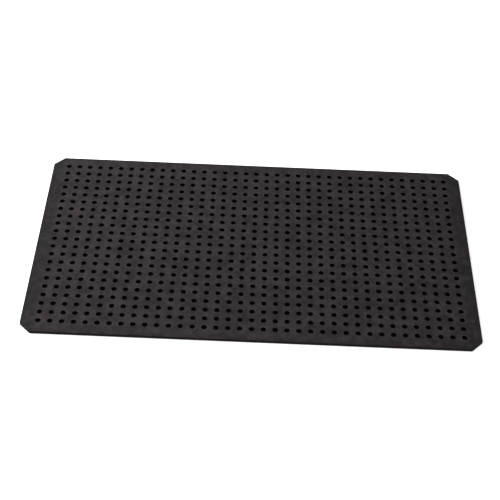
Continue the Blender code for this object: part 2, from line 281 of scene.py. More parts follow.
def distance_from_hole(tree, point):
    """How far a point lies from the middle of the nearest hole, in plan."""
    half = PITCH / 2
    wrapped = add(tree, "ShaderNodeVectorMath",
                  {0: point, 1: (half, half, half), 2: (-half, -half, -half)}, operation="WRAP")
    flat = add(tree, "ShaderNodeVectorMath", {0: wrapped.outputs[0], 1: (1.0, 1.0, 0.0)},
               operation="MULTIPLY")
    length = add(tree, "ShaderNodeVectorMath", {0: flat.outputs[0]}, operation="LENGTH")
    return length.outputs["Value"]


def cover_material():
    """Dark warm-grey moulded plastic: spark texture, soft mottling, painted shade towards the
    outline and the ends, painted highlights round the holes.
    """
    material, tree, shader = new_material("moulded_cover")
    point = object_point(tree)
    wear = add(tree, "ShaderNodeAttribute", attribute_name="edge_wear").outputs["Fac"]
    broad = noise(tree, point, 0.055, detail=2.0)
    patches = noise(tree, point, 0.009, detail=4.0, roughness=0.6)
    speckle = noise(tree, point, 0.0011, detail=2.0)
    edge, end = distance_from_edge(tree, point)
    # A paler ring round each hole: a painted highlight, as if a lip there caught the light.
    painted_rim_highlight = remap(tree, distance_from_hole(tree, point), HOLE_RADIUS, PITCH * 0.6, 0.07, 0.0)
    # The tone darkens towards the clipped outline and towards both ends: painted shade.
    tone = total(tree, 0.45,
                 remap(tree, broad, 0.3, 0.7, -0.05, 0.05),
                 remap(tree, patches, 0.3, 0.7, -0.50, 0.50),
                 remap(tree, speckle, 0.3, 0.7, -0.08, 0.08),
                 remap(tree, edge, 0.0, 0.0070, -0.32, 0.0),
                 remap(tree, end, PITCH * 0.8, PITCH * 1.3, -0.32, 0.0),
                 painted_rim_highlight)
    base = blend_colours(tree, tone, COVER_DARK, COVER_LIGHT)
    scuffed = maths(tree, "MULTIPLY", wear, remap(tree, patches, 0.4, 0.65, 0.15, 0.9))
    base = blend_colours(tree, scuffed, base, COVER_WORN)
    put(tree, shader.inputs["Base Color"], base)
    rough = remap(tree, maths(tree, "ADD", patches, speckle), 0.7, 1.3, 0.72, 0.84)
    put(tree, shader.inputs["Roughness"], rough)
    shader.inputs["Specular IOR Level"].default_value = 0.1
    grain = cells(tree, point, 0.0009)
    fine = noise(tree, point, 0.00045, detail=2.0)
    normal = bump(tree, grain, 0.00003)
    normal = bump(tree, fine, 0.00002, under=normal)
    normal = bump(tree, patches, 0.00016, under=normal)
    put(tree, shader.inputs["Normal"], normal)
    return material


def well_material():
    """The wells' walls and floors, with painted shade: the walls darken with depth to dead-black
    matt floors, which carry a few lighter specks of dust.
    """
    material, tree, shader = new_material("well_painted_shade")
    point = object_point(tree)
    height = add(tree, "ShaderNodeSeparateXYZ", {"Vector": point}).outputs["Z"]
    dust = noise(tree, point, 0.0016, detail=3.0)
    # Painted shade: the walls darken with depth.
    depth = remap(tree, height, TOP - HOLE_DEPTH * 0.8, TOP, 0.0, 1.0)
    dusty = remap(tree, dust, 0.5, 0.8, 0.0, 1.0)
    put(tree, shader.inputs["Base Color"],
        blend_colours(tree, depth, blend_colours(tree, dusty, WELL_FLOOR_PAINTED_SHADE, WELL_DUST), WELL_WALL_PAINTED_SHADE))
    put(tree, shader.inputs["Roughness"], remap(tree, dust, 0.3, 0.7, 0.8, 0.95))
    shader.inputs["Specular IOR Level"].default_value = 0.0
    put(tree, shader.inputs["Normal"], bump(tree, dust, 0.00005))
    return material


def plastic(name, dark, light, roughness, grain_size, grain_height, patch=0.02, specular=0.4):
    """Moulded or calendered plastic or rubber with a grain and a soft change of tone."""
    material, tree, shader = new_material(name)
    point = object_point(tree)
    tone = noise(tree, point, patch, detail=4.0)
    put(tree, shader.inputs["Base Color"],
        blend_colours(tree, remap(tree, tone, 0.35, 0.65, 0.0, 1.0), dark, light))
    put(tree, shader.inputs["Roughness"],
        remap(tree, tone, 0.3, 0.7, roughness - 0.07, roughness + 0.07))
    shader.inputs["Specular IOR Level"].default_value = specular
    grain = cells(tree, point, grain_size)
    fine = noise(tree, point, grain_size * 0.6)
    normal = bump(tree, grain, grain_height)
    put(tree, shader.inputs["Normal"], bump(tree, fine, grain_height * 0.6, under=normal))
    return material


def foam(name):
    """Closed-cell foam: small cells of two sizes."""
    material, tree, shader = new_material(name)
    point = object_point(tree)
    small = cells(tree, point, 0.0006)
    large = cells(tree, point, 0.0016)
    tone = noise(tree, point, 0.03)
    shade = total(tree, maths(tree, "MULTIPLY", small, 0.6), maths(tree, "MULTIPLY", tone, 0.5))
    put(tree, shader.inputs["Base Color"],
        blend_colours(tree, remap(tree, shade, 0.2, 0.8, 0.0, 1.0),
                      (0.24, 0.25, 0.27), (0.42, 0.43, 0.45)))
    put(tree, shader.inputs["Roughness"], remap(tree, tone, 0.3, 0.7, 0.86, 0.97))
    normal = bump(tree, small, 0.00012)
    put(tree, shader.inputs["Normal"], bump(tree, large, 0.00015, under=normal))
    return material


def foil(name, dark, light, roughness, crease_size, crease_height, stretch=(1, 1, 1)):
    """Thin rolled metal with rolling lines and creases."""
    material, tree, shader = new_material(name)
    point = object_point(tree)
    lines = noise(tree, point, 0.0012, detail=4.0, stretch=stretch)
    creases = noise(tree, point, crease_size, detail=5.0, roughness=0.6)
    folds = cells(tree, point, crease_size * 1.7, feature="DISTANCE_TO_EDGE")
    put(tree, shader.inputs["Base Color"],
        blend_colours(tree, remap(tree, lines, 0.35, 0.65, 0.0, 1.0), dark, light))
    put(tree, shader.inputs["Roughness"],
        remap(tree, creases, 0.3, 0.7, roughness - 0.08, roughness + 0.12))
    shader.inputs["Metallic"].default_value = 1.0
    normal = bump(tree, lines, 0.00001)
    normal = bump(tree, creases, crease_height, under=normal)
    put(tree, shader.inputs["Normal"],
        bump(tree, remap(tree, folds, 0.0, 0.12, 0.0, 1.0), crease_height * 0.5, under=normal))
    return material


def metal(name, dark, light, roughness):
    """Small stamped or drawn metal part with fine tool marks and a little tarnish."""
    material, tree, shader = new_material(name)
    point = object_point(tree)
    marks = noise(tree, point, 0.0002, detail=3.0, stretch=(1, 6, 1))
    tarnish = noise(tree, point, 0.0015, detail=4.0)
    put(tree, shader.inputs["Base Color"],
        blend_colours(tree, remap(tree, tarnish, 0.4, 0.7, 0.0, 1.0), light, dark))
    put(tree, shader.inputs["Roughness"],
        remap(tree, tarnish, 0.3, 0.7, roughness - 0.05, roughness + 0.15))
    shader.inputs["Metallic"].default_value = 1.0
    put(tree, shader.inputs["Normal"], bump(tree, marks, 0.00001))
    return material


def plate_material():
    """The blank rating plate: satin film with a thin dark frame line and no print."""
    material, tree, shader = new_material("blank_plate")
    low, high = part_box("rating_plate")
    centre, half = (low + high) / 2, (high - low) / 2
    point = object_point(tree)
    parts = add(tree, "ShaderNodeSeparateXYZ", {"Vector": point})
    from_edge = []
    for axis in (0, 1):
        offset = maths(tree, "ABSOLUTE", maths(tree, "SUBTRACT", parts.outputs[axis], centre[axis]))
        from_edge.append(maths(tree, "SUBTRACT", half[axis], offset))
    inset = maths(tree, "MINIMUM", *from_edge)
    off_line = maths(tree, "ABSOLUTE", maths(tree, "SUBTRACT", inset, PLATE_LINE_INSET))
    line = remap(tree, off_line, PLATE_LINE_HALF_WIDTH, PLATE_LINE_HALF_WIDTH * 1.5, 1.0, 0.0)
    haze = noise(tree, point, 0.006, detail=4.0)
    face = blend_colours(tree, haze, (0.52, 0.52, 0.50), (0.62, 0.62, 0.60))
    put(tree, shader.inputs["Base Color"], blend_colours(tree, line, face, (0.04, 0.04, 0.04)))
    put(tree, shader.inputs["Roughness"], remap(tree, haze, 0.3, 0.7, 0.35, 0.5))
    put(tree, shader.inputs["Normal"], bump(tree, haze, 0.00003))
    return material


# ---- outline helpers ----

def clipped_outline(inset):
    """The mat's plan with its four corners cut off, moved in by an inset."""
    x = LENGTH / 2 - inset
    y = WIDTH / 2 - inset
    cut = CORNER_CUT - inset * (2 - math.sqrt(2))
    return [(x - cut, -y), (x, cut - y), (x, y - cut), (x - cut, y),
            (cut - x, y), (-x, y - cut), (-x, cut - y), (cut - x, -y)]


def outline_loop(inset):
    """The same plan with every corner rounded, as points run anticlockwise."""
    radius = max(CORNER_RADIUS - inset, LEAST_CORNER_RADIUS)
    corners = [Vector(corner) for corner in clipped_outline(inset)]
    points = []
    for index, corner in enumerate(corners):
        back = (corners[index - 1] - corner).normalized()
        ahead = (corners[(index + 1) % len(corners)] - corner).normalized()
        half_angle = back.angle(ahead) / 2
        centre = corner + (back + ahead).normalized() * radius / math.sin(half_angle)
        start = corner + back * radius / math.tan(half_angle) - centre
        turn = math.pi - 2 * half_angle
        for step in range(CORNER_STEPS + 1):
            points.append(centre + Matrix.Rotation(turn * step / CORNER_STEPS, 2) @ start)
    return points


def raised(points, height):
    """Points in plan at a height."""
    return [Vector((point[0], point[1], height)) for point in points]


def rounded_rectangle(half_width, low, high, radius, steps=4):
    """An upright rounded rectangle, run anticlockwise, as pairs: across and height."""
    points = []
    for corner in range(4):
        across = (half_width - radius) * (1 if corner in (0, 3) else -1)
        height = high - radius if corner in (0, 1) else low + radius
        for step in range(steps + 1):
            angle = math.pi / 2 * (corner + step / steps)
            points.append((across + radius * math.cos(angle), height + radius * math.sin(angle)))
    return points


# ---- mesh helpers ----

def loft(loops, ring=False):
    """A closed body through loops of points, capped at both ends or joined into a ring."""
    mesh = bmesh.new()
    rows = [[mesh.verts.new(point) for point in loop] for loop in loops]
    pairs = list(zip(rows, rows[1:]))
    if ring:
        pairs.append((rows[-1], rows[0]))
    else:
        mesh.faces.new(rows[0][::-1])
        mesh.faces.new(rows[-1])
    for first, second in pairs:
        for index in range(len(first)):
            after = (index + 1) % len(first)
            mesh.faces.new((first[index], first[after], second[after], second[index]))
    bmesh.ops.recalc_face_normals(mesh, faces=mesh.faces)
    return mesh


def sweep(path, section):
    """A closed body that carries a section along a path and keeps it upright."""
    loops = []
    for index, point in enumerate(path):
        ahead = (path[min(index + 1, len(path) - 1)] - path[max(index - 1, 0)]).normalized()
        side = ahead.cross(Vector((0, 0, 1))).normalized()
        up = side.cross(ahead)
        loops.append([point + side * across + up * height for across, height in section])
    return loft(loops)


def turned(profile, centre_x, ring=False):
    """A body turned about the junction line, from pairs: place along it and radius."""
    angles = [2 * math.pi * index / TURNED_SIDES for index in range(TURNED_SIDES)]
    loops = []
    for along, radius in profile:
        loops.append([Vector((centre_x + along, JUNCTION_Y + radius * math.cos(angle),
                              JUNCTION_Z + radius * math.sin(angle))) for angle in angles])
    return loft(loops, ring)


def box_mesh(low, high, radius=0.0):
    """A box between two corners, with its edges rounded."""
    mesh = bmesh.new()
    size = Matrix.Diagonal(high - low).to_4x4()
    bmesh.ops.create_cube(mesh, size=1.0, matrix=Matrix.Translation((low + high) / 2) @ size)
    if radius:
        bmesh.ops.bevel(mesh, geom=mesh.edges[:], offset=radius, segments=3, profile=0.5,
                        affect="EDGES")
    return mesh


def temporary_object(name, mesh):
    """An object that holds a mesh only while it is cut or joined."""
    data = bpy.data.meshes.new(name)
    mesh.to_mesh(data)
    mesh.free()
    thing = bpy.data.objects.new(name, data)
    bpy.context.scene.collection.objects.link(thing)
    return thing


def combined(mesh, tool, operation="DIFFERENCE"):
    """Cuts a closed mesh out of another, or joins the two."""
    body, other = temporary_object("body", mesh), temporary_object("tool", tool)
    boolean = body.modifiers.new("combine", "BOOLEAN")
    boolean.object = other
    boolean.operation = operation
    bpy.context.view_layer.update()
    evaluated = body.evaluated_get(bpy.context.evaluated_depsgraph_get())
    result = bmesh.new()
    result.from_mesh(evaluated.to_mesh())
    for thing in (body, other):
        bpy.data.objects.remove(thing, do_unlink=True)
    return result


def finish_piece(node, mesh, *mats, sharp_degrees=40):
    """Makes the smooth-shaded piece that stands for a CAD node, and ties it to the frame."""
    data = bpy.data.meshes.new(node + "_fine")
    mesh.to_mesh(data)
    mesh.free()
    data.shade_smooth()
    data.set_sharp_from_angle(angle=math.radians(sharp_degrees))
    piece = bpy.data.objects.new(node + "_fine", data)
    bpy.context.scene.collection.objects.link(piece)
    for material in mats:
        data.materials.append(material)
    normals = piece.modifiers.new("weighted_normals", "WEIGHTED_NORMAL")
    normals.keep_sharp = True
    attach(piece, BODY)
    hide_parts(node)


# ---- patterned sheets: the perforated cover and the underside ----

def square_point(half, index):
    """A point on the border of a square, with CELL_SIDES points from its front left corner."""
    side, step = divmod(index, CELL_SIDES // 4)
    along = -half + 2 * half * step / (CELL_SIDES // 4)
    return [(along, -half), (half, along), (-along, half), (-half, -along)][side]


def add_cell(mesh, wear, centre, height, section, squareness=2.0, inner_slot=FACE_SLOT):
    """One square of a patterned sheet: rings from its border to the face that closes it.

    A squareness of 2 makes round rings, and more makes them squarer. The last wall and
    the closing face take the inner slot.
    """
    columns = []
    for index in range(CELL_SIDES):
        x, y = square_point(PITCH / 2, index)
        angle = 2 * math.pi * index / CELL_SIDES + FRONT_LEFT
        across, along = math.cos(angle), math.sin(angle)
        reach = (abs(across) ** squareness + abs(along) ** squareness) ** (-1 / squareness)
        column = [mesh.verts.new((centre[0] + x, centre[1] + y, height))]
        for radius, level, amount in section:
            vert = mesh.verts.new((centre[0] + radius * reach * across,
                                   centre[1] + radius * reach * along, level))
            vert[wear] = amount
            column.append(vert)
        columns.append(column)
    for index, column in enumerate(columns):
        after = columns[(index + 1) % CELL_SIDES]
        for level in range(len(section)):
            face = mesh.faces.new((column[level], after[level],
                                   after[level + 1], column[level + 1]))
            face.material_index = inner_slot if level == len(section) - 1 else FACE_SLOT
    mesh.faces.new([column[-1] for column in columns]).material_index = inner_slot


def mend_slivers(mesh):
    """Replaces each triangle without area, and its neighbour, by two sound triangles."""
    for sliver in [face for face in mesh.faces if face.calc_area() < SLIVER_AREA]:
        edge = max(sliver.edges, key=lambda side: side.calc_length())
        neighbour = next(face for face in edge.link_faces if face is not sliver)
        middle = next(vert for vert in sliver.verts if vert not in edge.verts)
        corners = list(neighbour.verts)
        apex = next(index for index, vert in enumerate(corners) if vert not in edge.verts)
        tip, first, second = (corners[(apex + turn) % 3] for turn in range(3))
        bmesh.ops.delete(mesh, geom=[sliver, neighbour], context="FACES_ONLY")
        mesh.faces.new((tip, first, middle))
        mesh.faces.new((tip, middle, second))
        if not edge.link_faces:
            mesh.edges.remove(edge)


def cell_centre(column, row):
    """The middle of a cell in plan. The middle cell lies on the origin."""
    return (column - (COLUMNS - 1) / 2) * PITCH, (row - (ROWS - 1) / 2) * PITCH


def add_margin(mesh, inset, height):
    """The flat margin between the field of cells and an outline, facing up."""
    half_x, half_y = COLUMNS * PITCH / 2, ROWS * PITCH / 2
    side_steps = CELL_SIDES // 4
    inner = []
    sides = ((COLUMNS, (-half_x, -half_y), (1, 0)), (ROWS, (half_x, -half_y), (0, 1)),
             (COLUMNS, (half_x, half_y), (-1, 0)), (ROWS, (-half_x, half_y), (0, -1)))
    for count, start, step in sides:
        for index in range(count * side_steps):
            along = index * PITCH / side_steps
            inner.append(Vector((start[0] + step[0] * along, start[1] + step[1] * along, height)))
    outer = raised(outline_loop(inset), height)
    verts = [mesh.verts.new(point) for point in outer + inner]
    for triangle in tessellate_polygon([outer, inner]):
        face = mesh.faces.new([verts[index] for index in triangle])
        face.normal_update()
        if face.normal.z < 0:
            face.normal_flip()


def add_outline_loops(mesh, wear, section):
    """Loops of the mat's outline, joined by faces, from (inset, height, wear) rows."""
    loops = []
    for inset, height, amount in section:
        loop = [mesh.verts.new(point) for point in raised(outline_loop(inset), height)]
        for vert in loop:
            vert[wear] = amount
        loops.append(loop)
    faces = []
    for upper, lower in zip(loops, loops[1:]):
        for index in range(len(upper)):
            after = (index + 1) % len(upper)
            faces.append(mesh.faces.new((upper[index], lower[index], lower[after], upper[after])))
    return loops, faces


def cover_section():
    """The cover's section outside the hole field, from its top to its ceiling."""
    section = []
    for step in range(EDGE_STEPS + 1):
        angle = math.pi / 2 * step / EDGE_STEPS
        section.append((EDGE_RADIUS * (1 - math.sin(angle)),
                        TOP - EDGE_RADIUS * (1 - math.cos(angle)),
                        0.3 * math.sin(2 * angle)))
    foot_radius = EDGE_RADIUS / 2
    for step in range(FOOT_STEPS + 1):
        angle = math.pi / 2 * step / FOOT_STEPS
        section.append((foot_radius * (1 - math.cos(angle)),
                        FOOT + foot_radius * (1 - math.sin(angle)), 0.2))
    return section + [(SKIRT_WIDTH, FOOT, 0.0), (SKIRT_WIDTH, CEILING, 0.0)]


def cover_shell():
    """The cover without its flat top face, cut for the inlet."""
    shell = bmesh.new()
    wear = shell.verts.layers.float.new("edge_wear")
    loops, faces = add_outline_loops(shell, wear, cover_section())
    for face in faces:
        # Faces off the top, the lower half of the edge's rounding among them, take the skirt slot,
        # whose colours are painted shade.
        on_top = all(vert.co.z > TOP - EDGE_RADIUS / 2 for vert in face.verts)
        face.material_index = FACE_SLOT if on_top else SKIRT_SLOT
    shell.faces.new(loops[0])
    shell.faces.new(loops[-1][::-1]).material_index = SKIRT_SLOT
    housing_low, housing_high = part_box("inlet_housing")
    notch_low = Vector((housing_low.x - INLET_GAP, housing_low.y, FOOT - OVERCUT))
    notch_high = Vector((housing_high.x + INLET_GAP, WIDTH / 2 + OVERCUT,
                         housing_high.z + INLET_GAP))
    shell = combined(shell, box_mesh(notch_low, notch_high))
    top_faces = [face for face in shell.faces
                 if face.normal.z > 0.9 and all(abs(v.co.z - TOP) < MERGE for v in face.verts)]
    bmesh.ops.delete(shell, geom=top_faces, context="FACES_ONLY")
    return shell


def make_cover():
    """The whole cover: shell, margin and one cell for every hole."""
    mesh = cover_shell()
    wear = mesh.verts.layers.float["edge_wear"]
    add_margin(mesh, EDGE_RADIUS, TOP)
    for row in range(ROWS):
        for column in range(COLUMNS):
            centre = cell_centre(column, row)
            add_cell(mesh, wear, centre, TOP, HOLE_SECTION, inner_slot=WELL_SLOT)
    bmesh.ops.remove_doubles(mesh, verts=mesh.verts, dist=MERGE)
    mend_slivers(mesh)
    # The side walls take the cover's plastic, darkened as painted shade.
    shaded_skirt = plastic("cover_skirt_painted_shade", SKIRT_PAINTED_SHADE_DARK, SKIRT_PAINTED_SHADE_LIGHT, 0.8, 0.0009, 0.00003, specular=0.05)
    finish_piece("perforated_cover", mesh, cover_material(), well_material(), shaded_skirt)


def under_plate(centre):
    """Whether a cell of the underside touches the rating plate, where it has no pad."""
    low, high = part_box("rating_plate")
    reach = PITCH / 2
    return (low.x - reach < centre[0] < high.x + reach
            and low.y - reach < centre[1] < high.y + reach)


def make_bottom_cover():
    """The underside sheet: a flat rim, and pads with grooves between them."""
    mesh = bmesh.new()
    wear = mesh.verts.layers.float.new("edge_wear")
    rim_inset = SHEET_INSET + RIM_WIDTH
    top = sheet_high.z
    section = [(SHEET_INSET + SHEET_EDGE, top, 0.0), (SHEET_INSET, top - SHEET_EDGE, 0.2),
               (SHEET_INSET, SHEET_EDGE, 0.2), (SHEET_INSET + SHEET_EDGE, 0.0, 0.5),
               (rim_inset, 0.0, 0.4), (rim_inset + SHEET_EDGE, GROOVE_Z, 0.0)]
    top_loop = add_outline_loops(mesh, wear, section)[0][0]
    mesh.faces.new(top_loop)
    add_margin(mesh, rim_inset + SHEET_EDGE, GROOVE_Z)
    for row in range(ROWS):
        for column in range(COLUMNS):
            centre = cell_centre(column, row)
            pad = [] if under_plate(centre) else PAD_SECTION
            add_cell(mesh, wear, centre, GROOVE_Z, pad, squareness=PAD_SQUARENESS)
    bmesh.ops.remove_doubles(mesh, verts=mesh.verts, dist=MERGE)
    mend_slivers(mesh)
    bmesh.ops.recalc_face_normals(mesh, faces=mesh.faces)
    finish_piece("bottom_cover", mesh,
                 plastic("grained_bottom", (0.022, 0.020, 0.021), (0.034, 0.031, 0.032),
                         0.72, 0.0014, 0.00008, specular=0.3))


# ---- the filling ----

def make_edge_seal():
    """The bead that bonds the covers all round, open at the inlet."""
    low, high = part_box("edge_seal")
    width, rounding = 0.003, 0.0005
    middle = LENGTH / 2 - high.x + width / 2
    section = rounded_rectangle(width / 2, low.z, high.z, rounding, steps=3)
    mesh = loft([raised(outline_loop(middle + across), height) for across, height in section],
                ring=True)
    housing_low, housing_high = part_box("inlet_housing")
    gap = Vector((2 * INLET_GAP, 0.0, OVERCUT))
    mesh = combined(mesh, box_mesh(housing_low - gap, housing_high + gap))
    finish_piece("edge_seal", mesh,
                 plastic("seal_bead", (0.014, 0.014, 0.015), (0.024, 0.024, 0.025),
                         0.80, 0.0010, 0.00004, specular=0.3))


def make_rating_plate():
    """A thin blank plate with rounded corners."""
    low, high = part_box("rating_plate")
    middle, half = (low + high) / 2, (high - low) / 2
    edge, rounding = 0.00002, 0.002
    loops = []
    for inset, height in ((edge, low.z), (0.0, low.z + edge), (0.0, high.z)):
        outline = rounded_rectangle(half.x - inset, inset - half.y, half.y - inset, rounding,
                                    steps=6)
        loops.append([Vector((middle.x + x, middle.y + y, height)) for x, y in outline])
    finish_piece("rating_plate", loft(loops), plate_material())


def arc(centre, radius, start, sweep, steps):
    """Points of an arc in plan. The angles are in degrees."""
    angles = [math.radians(start + sweep * step / steps) for step in range(steps + 1)]
    return [Vector((centre[0] + radius * math.cos(a), centre[1] + radius * math.sin(a), CABLE_Z))
            for a in angles]


def cable_path():
    """The cable's centre line below the junction pocket, round every run."""
    bend = LINE_BEND_RADIUS
    corner_x = CABLE_HALF_SPAN - bend
    corner_y = JUNCTION_Y - bend
    path = arc((-corner_x, corner_y), bend, 90, 90, TURN_STEPS // 2)
    for turn in range(CABLE_RUNS - 1):
        middle = -CABLE_HALF_SPAN + (turn + 0.5) * RUN_GAP
        turn_y, sweep_angle = (FRONT_TURN_Y, 180) if turn % 2 == 0 else (BACK_TURN_Y, -180)
        path += arc((middle, turn_y), RUN_GAP / 2, 180, sweep_angle, TURN_STEPS)
    return path + arc((corner_x, corner_y), bend, 0, 90, TURN_STEPS // 2)


def cable_end():
    """The right-hand end, from its splice down to the level of the runs."""
    points = [Vector((SPLICE_X + CABLE_END_GAP, JUNCTION_Y, JUNCTION_Z))]
    for step in range(RISE_STEPS + 1):
        share = step / RISE_STEPS
        ease = (1 - math.cos(math.pi * share)) / 2
        points.append(Vector((CABLE_LIFT_X + (CABLE_DOWN_X - CABLE_LIFT_X) * share, JUNCTION_Y,
                              JUNCTION_Z + (CABLE_Z - JUNCTION_Z) * ease)))
    return points


def make_heating_cable():
    """The resistance cable, from one splice round every run to the other."""
    right = cable_end()
    left = [Vector((-point.x, point.y, point.z)) for point in right]
    angles = [2 * math.pi * index / CABLE_SIDES for index in range(CABLE_SIDES)]
    section = [(WIRE_RADIUS * math.cos(a), WIRE_RADIUS * math.sin(a)) for a in angles]
    jacket = plastic("silicone_jacket", (0.36, 0.040, 0.022), (0.52, 0.070, 0.035),
                     0.48, 0.0005, 0.00001, patch=0.01)
    finish_piece("heating_cable", sweep(left + cable_path() + right[::-1], section), jacket)


def make_insulation_pad():
    """The foam pad, with the cable's channel and the junction's opening cut in it."""
    low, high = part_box("insulation_pad")
    inset = LENGTH / 2 - high.x
    pad = loft([raised(outline_loop(inset), height) for height in (low.z, high.z)])
    half, soft = CHANNEL_HALF_WIDTH, CHANNEL_SOFTNESS
    floor, top = CHANNEL_FLOOR - CABLE_Z, high.z + OVERCUT - CABLE_Z
    section = [(half, top), (-half, top), (-half, floor + soft), (soft - half, floor),
               (half - soft, floor), (half, floor + soft)]
    end = Vector((CABLE_DOWN_X, JUNCTION_Y, CABLE_Z))
    start = Vector((-CABLE_DOWN_X, JUNCTION_Y, CABLE_Z))
    pad = combined(pad, sweep([start] + cable_path() + [end], section))
    pad = combined(pad, box_mesh(Vector((-POCKET_HALF_LENGTH, POCKET_FRONT, 0.0)),
                                 Vector((POCKET_HALF_LENGTH, POCKET_BACK, TOP))))
    finish_piece("insulation_pad", pad, foam("closed_cell_foam"), sharp_degrees=30)


def make_fixing_tapes():
    """Strips of aluminium tape across the runs, cut with a zigzag at both ends."""
    tape = foil("aluminium_tape", (0.60, 0.61, 0.63), (0.76, 0.77, 0.79), 0.30, 0.004, 0.00004)
    teeth, depth = 9, 0.001
    for row in ("front", "middle", "back"):
        node = f"fixing_tape_{row}"
        low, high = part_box(node)
        tooth = (high.y - low.y) / teeth
        right = []
        for index in range(2 * teeth + 1):
            right.append((high.x - depth * (index % 2), low.y + tooth * index / 2))
        outline = right + [(low.x - x + high.x, y) for x, y in right[::-1]]
        finish_piece(node, loft([raised(outline, height) for height in (low.z, high.z)]), tape)


# ---- the inlet and the junction ----

def make_inlet_housing():
    """The flush two-contact socket: a flanged body with a round-ended slot."""
    low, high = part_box("inlet_housing")
    half = high.x
    slot_radius = (SLOT_HIGH - SLOT_LOW) / 2
    flange_y = WIDTH / 2 - SKIRT_WIDTH + 2 * INLET_GAP
    edge, painted_rim_highlight = 0.00012, 0.0002
    # From the body's front face to the slot's floor: y, half width, bottom, top, corner radius.
    rows = [(low.y, half - 2 * edge, INLET_BODY_LOW + edge, high.z - 2 * edge, INLET_CORNER),
            (low.y + edge, half - edge, INLET_BODY_LOW, high.z - edge, INLET_CORNER),
            (flange_y, half - edge, INLET_BODY_LOW, high.z - edge, INLET_CORNER),
            (flange_y, half, low.z, high.z, INLET_CORNER),
            (high.y - edge, half, low.z, high.z, INLET_CORNER),
            (high.y, half - edge, low.z + edge, high.z - edge, INLET_CORNER - edge / 2),
            (high.y, SLOT_HALF_WIDTH + painted_rim_highlight, SLOT_LOW - painted_rim_highlight, SLOT_HIGH + painted_rim_highlight, slot_radius + painted_rim_highlight),
            (high.y - painted_rim_highlight, SLOT_HALF_WIDTH, SLOT_LOW, SLOT_HIGH, slot_radius),
            (SLOT_END_Y, SLOT_HALF_WIDTH, SLOT_LOW, SLOT_HIGH, slot_radius)]
    loops = []
    for y, half_width, bottom, top, radius in rows:
        outline = rounded_rectangle(half_width, bottom, top, radius)
        loops.append([Vector((x, y, z)) for x, z in outline])
    mesh = loft(loops)
    gap = Vector((INLET_GAP, OVERCUT / 2, INLET_GAP))
    for side in ("left", "right"):
        blade_low, blade_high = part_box(f"inlet_contact_{side}")
        mesh = combined(mesh, box_mesh(blade_low - gap, blade_high + gap))
    finish_piece("inlet_housing", mesh,
                 plastic("inlet_moulding", (0.012, 0.012, 0.013), (0.020, 0.020, 0.021),
                         0.46, 0.0004, 0.00001, patch=0.004, specular=0.3))


def make_inlet_contacts():
    """Brass blades with rounded edges and a tapered nose."""
    brass = metal("contact_brass", (0.52, 0.34, 0.12), (0.80, 0.60, 0.26), 0.26)
    nose = 0.0007
    for side in ("left", "right"):
        node = f"inlet_contact_{side}"
        low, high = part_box(node)
        middle, half = (low + high) / 2, (high - low) / 2
        loops = []
        for y, share in ((low.y, 0.85), (low.y + nose / 5, 1.0), (high.y - nose, 1.0),
                         (high.y - nose / 3, 0.8), (high.y, 0.45)):
            section = rounded_rectangle(half.x * share, -half.z * share, half.z * share,
                                        0.6 * half.z * share)
            loops.append([Vector((middle.x + x, y, middle.z + z)) for x, z in section])
        finish_piece(node, loft(loops), brass)


def make_leads():
    """Insulated leads with a short stripped tip at each end."""
    jacket = plastic("lead_jacket_blue", (0.035, 0.09, 0.30), (0.06, 0.14, 0.42),
                     0.45, 0.0004, 0.00001, patch=0.006)
    copper = metal("tinned_conductor", (0.56, 0.50, 0.44), (0.78, 0.73, 0.68), 0.30)
    rounding = 0.00006
    for node in ("supply_lead_left", "supply_lead_right", "cutout_lead"):
        low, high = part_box(node)
        middle, half = (low.x + high.x) / 2, (high.x - low.x) / 2
        jacket_half = half - STRIPPED_LENGTH
        right = [(jacket_half - rounding, WIRE_RADIUS), (jacket_half, WIRE_RADIUS - rounding),
                 (jacket_half, CONDUCTOR_RADIUS), (half - rounding, CONDUCTOR_RADIUS),
                 (half, CONDUCTOR_RADIUS - rounding)]
        mesh = turned([(-x, radius) for x, radius in right[::-1]] + right, middle)
        for face in mesh.faces:
            if abs(face.calc_center_median().x - middle) > jacket_half + MERGE:
                face.material_index = 1
        finish_piece(node, mesh, jacket, copper)


def make_splices():
    """Crimped barrels, each under a shrunk sleeve that closes on the wire at both ends."""
    tinned = metal("tinned_copper", (0.50, 0.48, 0.45), (0.74, 0.72, 0.69), 0.32)
    shrunk = plastic("shrunk_sleeve", (0.018, 0.018, 0.019), (0.030, 0.030, 0.032),
                     0.40, 0.0008, 0.00003, patch=0.004)
    for side, sign in (("left", -1), ("right", 1)):
        for kind, radii, material in (("barrel", barrel_radii, tinned),
                                      ("sleeve", sleeve_radii, shrunk)):
            node = f"splice_{kind}_{side}"
            low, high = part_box(node)
            half = (high.x - low.x) / 2
            places = [-half + 2 * half * step / SPLICE_STEPS for step in range(SPLICE_STEPS + 1)]
            outer = [(x, radii(x, half)[1]) for x in places]
            inner = [(x, radii(x, half)[0]) for x in places]
            finish_piece(node, turned(outer + inner[::-1], sign * SPLICE_X, ring=True), material)


def barrel_radii(x, half):
    """Inner and outer radius of a crimp barrel, nipped in twice."""
    nip = sum(math.exp(-((x - place) / NIP_WIDTH) ** 2) for place in (-half / 2, half / 2))
    flare = BARREL_FLARE * max(0.0, abs(x) / half - FLARE_START) / (1 - FLARE_START)
    return BARREL_INNER - NIP_INNER_DEPTH * nip + flare, BARREL_OUTER - NIP_OUTER_DEPTH * nip


def sleeve_radii(x, half):
    """Inner and outer radius of a shrunk sleeve, narrow where it grips the wire."""
    share = min(1.0, max(0.0, (abs(x) - SHRINK_START) / SHRINK_LENGTH))
    ease = share * share * (3 - 2 * share)
    inner = SLEEVE_INNER - SLEEVE_SHRINK * ease
    return inner, inner + SLEEVE_WALL - SLEEVE_THINNING * abs(x) / half


